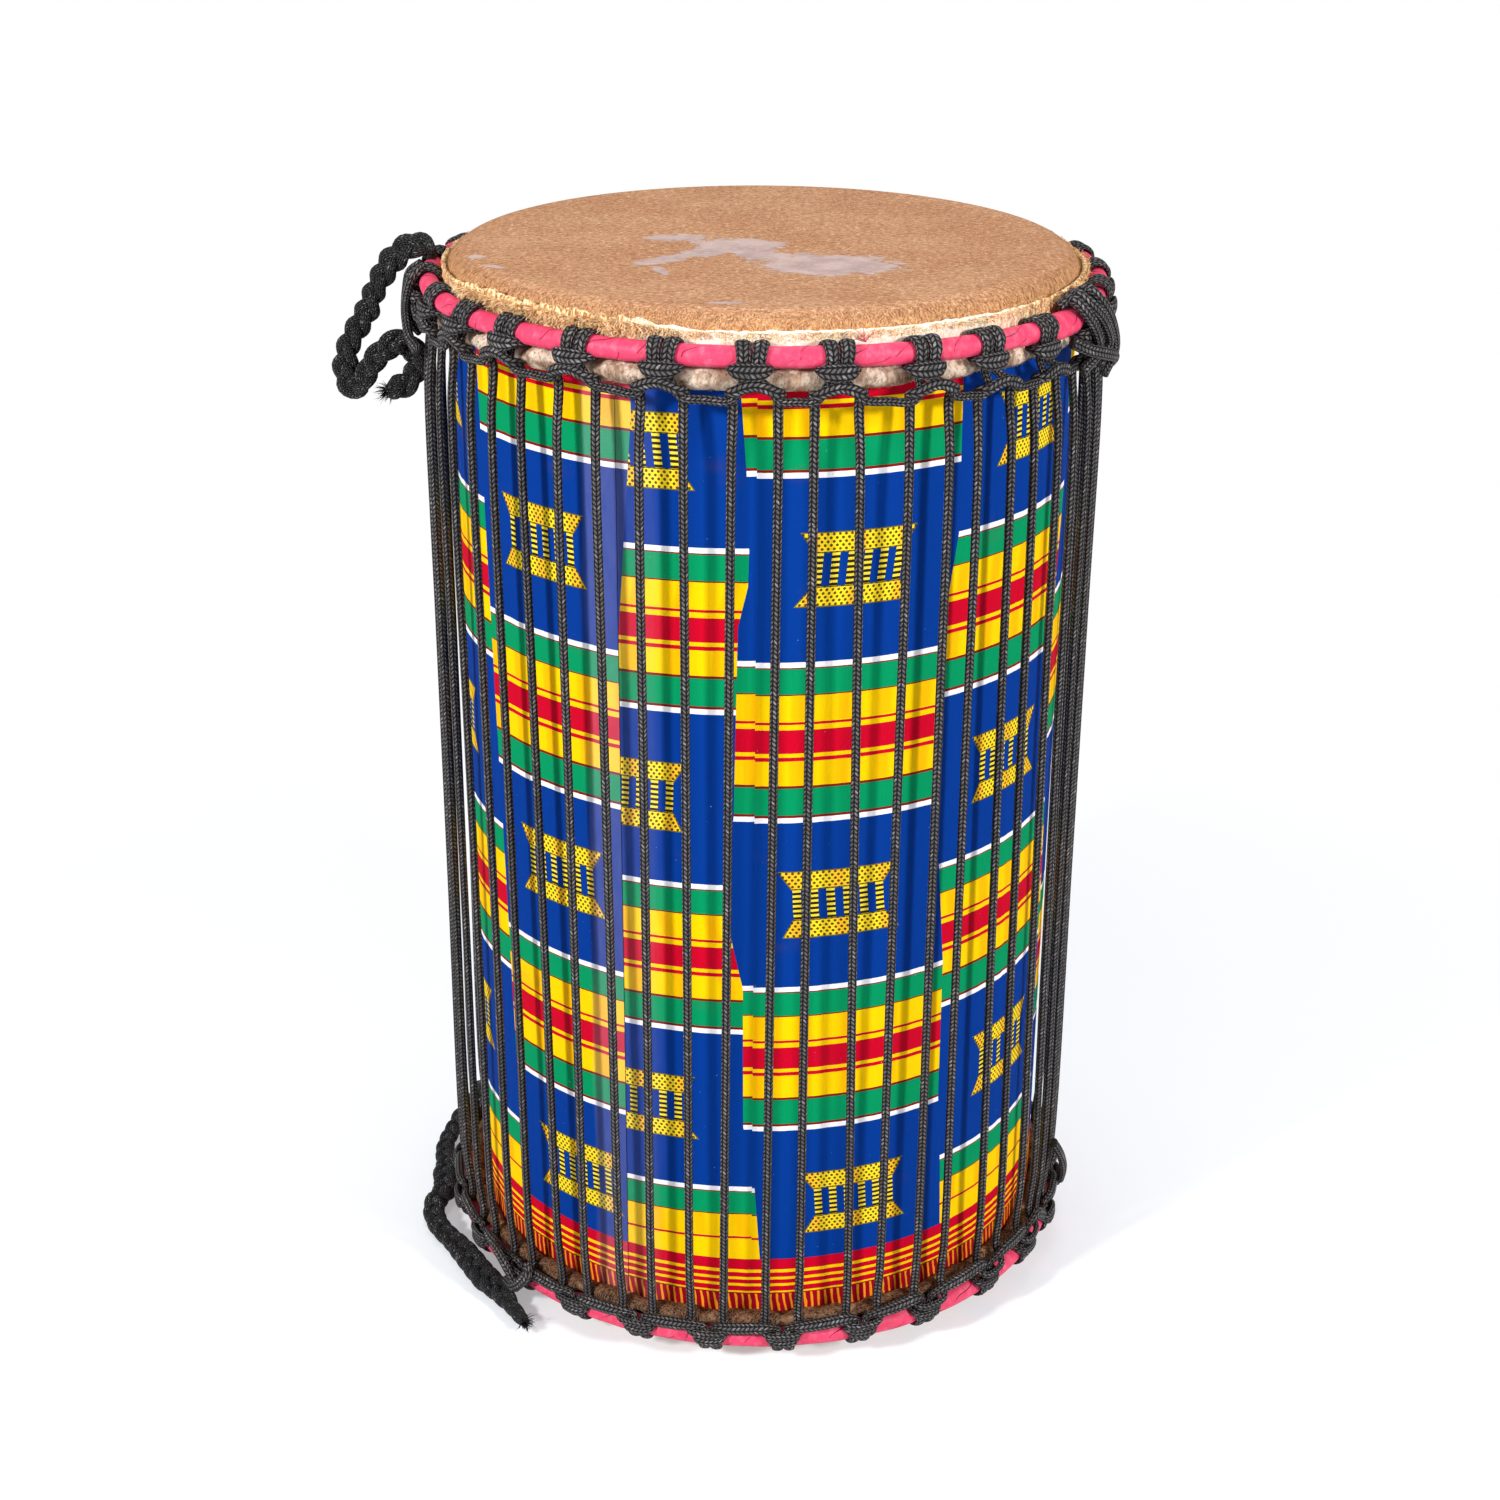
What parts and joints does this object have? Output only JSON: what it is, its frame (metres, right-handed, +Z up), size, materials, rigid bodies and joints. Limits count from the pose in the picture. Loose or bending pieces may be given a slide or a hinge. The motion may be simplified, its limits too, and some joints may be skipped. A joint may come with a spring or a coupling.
{
  "type": "dunun drum",
  "caption": "Tall cylindrical two-headed bass drum: cloth-covered wooden body, two hair-on hide heads on steel rings, tensioned by hitched cradle ropes and vertical rope lacing.",
  "frame": {"origin": "centre of the lower head's face, which is the face that the drum stands on", "axes": "+Z up along the drum's axis, -Y towards the camera of the picture, +X to the right in the picture"},
  "size_m": [0.4231, 0.3781, 0.6],
  "materials": {
    "body_wood": "bare turned hardwood, hidden by the cloth and the heads",
    "printed_cloth": "smooth printed cotton with a woven-strip pattern in blue, green, yellow and red",
    "hide": "cowhide with short brown hair, worn bald in patches",
    "ring_steel": "plain round steel rod",
    "pink_tape": "matt cotton tape wound at a slant",
    "black_rope": "braided synthetic rope, black with fine grey flecks"
  },
  "bodies": {
    "root": {"shell": "body_wood", "cloth_wrap": "printed_cloth", "top_head": "hide", "bottom_head": "hide", "top_flesh_ring": "ring_steel", "bottom_flesh_ring": "ring_steel", "top_crown_ring": "ring_steel", "bottom_crown_ring": "ring_steel", "top_ring_wrap": "pink_tape", "bottom_ring_wrap": "pink_tape", "top_cradle": "black_rope", "bottom_cradle": "black_rope", "lacing": "black_rope", "top_tail": "black_rope", "bottom_tail": "black_rope"}
  },
  "joints": []
}
